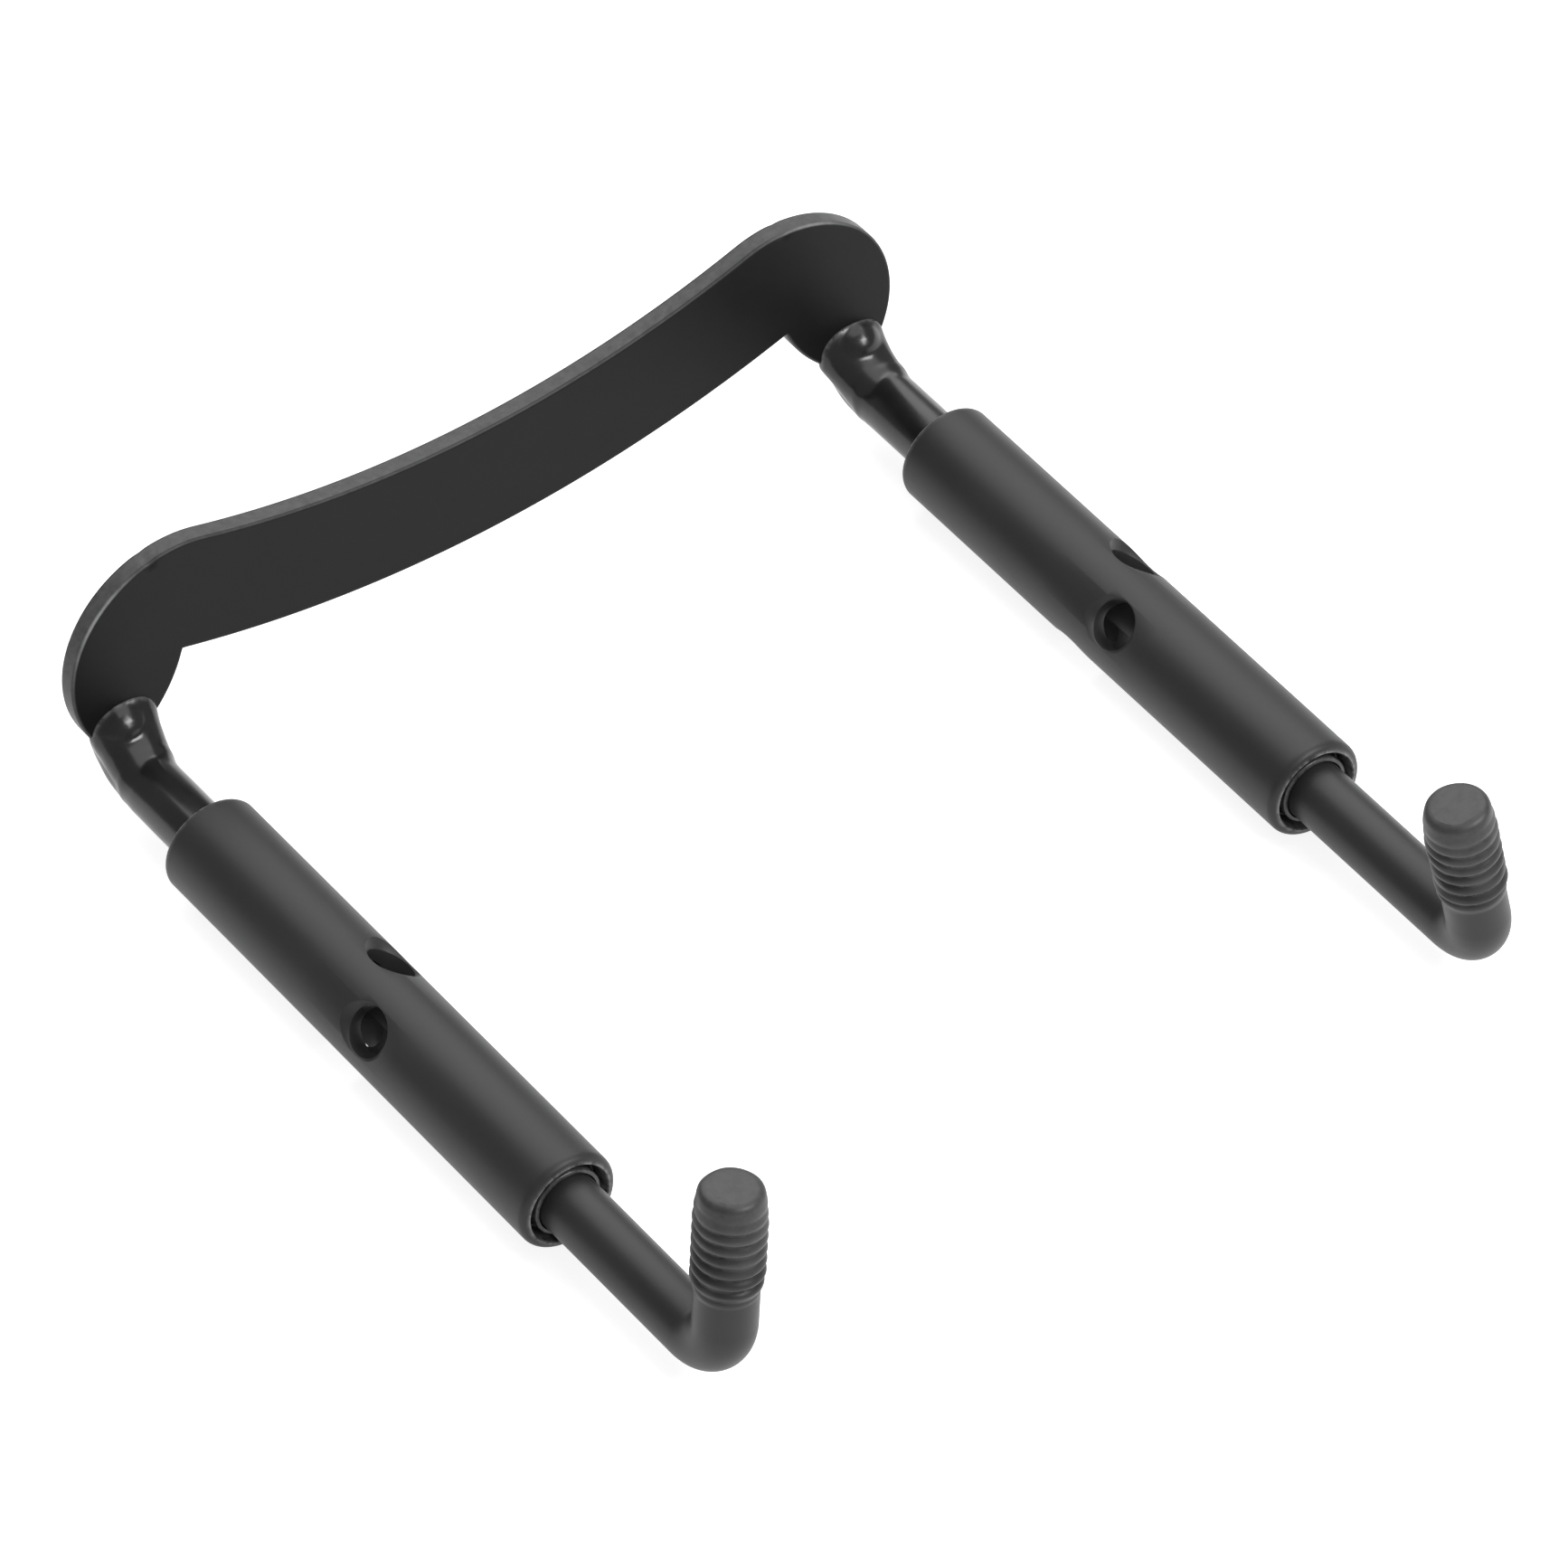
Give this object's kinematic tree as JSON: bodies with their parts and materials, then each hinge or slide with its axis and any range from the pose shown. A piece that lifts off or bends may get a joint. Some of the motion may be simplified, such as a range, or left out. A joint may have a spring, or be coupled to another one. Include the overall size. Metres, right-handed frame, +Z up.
{
  "type": "violin chin rest clamp",
  "caption": "Screw clamp with a curved foot plate, turning barrels and threaded L-hooks that holds a chin rest to a violin or viola.",
  "frame": {"origin": "centre of the base of the bounding box, on the surface that the barrels lie on", "axes": "+Z up, +Y from the hooks to the foot plate along the rods, +X from the left rod to the right one"},
  "size_m": [0.0422, 0.0472, 0.0121],
  "materials": {
    "plate_black": "satin black paint on steel sheet",
    "wire_black": "satin black coating on steel wire",
    "weld_black": "glossy black paint over a brazed bead",
    "barrel_black": "satin black coating on turned steel",
    "bush_black": "black coating on steel"
  },
  "bodies": {
    "foot": {"foot_plate": "plate_black", "left_stud": "wire_black", "right_stud": "wire_black", "left_weld": "weld_black", "right_weld": "weld_black"},
    "left_bush": {"left_bush": "bush_black"},
    "left_barrel": {"left_barrel": "barrel_black"},
    "left_hook": {"left_hook": "wire_black"},
    "right_bush": {"right_bush": "bush_black"},
    "right_barrel": {"right_barrel": "barrel_black"},
    "right_hook": {"right_hook": "wire_black"}
  },
  "joints": [
    {"name": "left_travel", "type": "slide", "parent": "foot", "child": "left_bush", "axis": [0, 1, 0], "range_m": [-0.003, 0.004]},
    {"name": "left_barrel_spin", "type": "hinge", "parent": "left_bush", "child": "left_barrel", "pos_m": [-0.0188, 0.00251, 0.0023], "axis": [0, 1, 0], "range_deg": [-2161, 2881]},
    {"name": "left_hook_swivel", "type": "hinge", "parent": "left_bush", "child": "left_hook", "pos_m": [-0.0188, -0.01399, 0.0023], "axis": [0, 1, 0], "continuous": true},
    {"name": "right_travel", "type": "slide", "parent": "foot", "child": "right_bush", "axis": [0, 1, 0], "range_m": [-0.003, 0.004]},
    {"name": "right_barrel_spin", "type": "hinge", "parent": "right_bush", "child": "right_barrel", "pos_m": [0.0188, 0.00251, 0.0023], "axis": [0, 1, 0], "range_deg": [-2161, 2881]},
    {"name": "right_hook_swivel", "type": "hinge", "parent": "right_bush", "child": "right_hook", "pos_m": [0.0188, -0.01399, 0.0023], "axis": [0, 1, 0], "continuous": true}
  ],
  "couplings": [
    {"joint": "left_barrel_spin", "follows": "left_travel", "rad_per_m": 12566},
    {"joint": "right_barrel_spin", "follows": "right_travel", "rad_per_m": 12566}
  ]
}
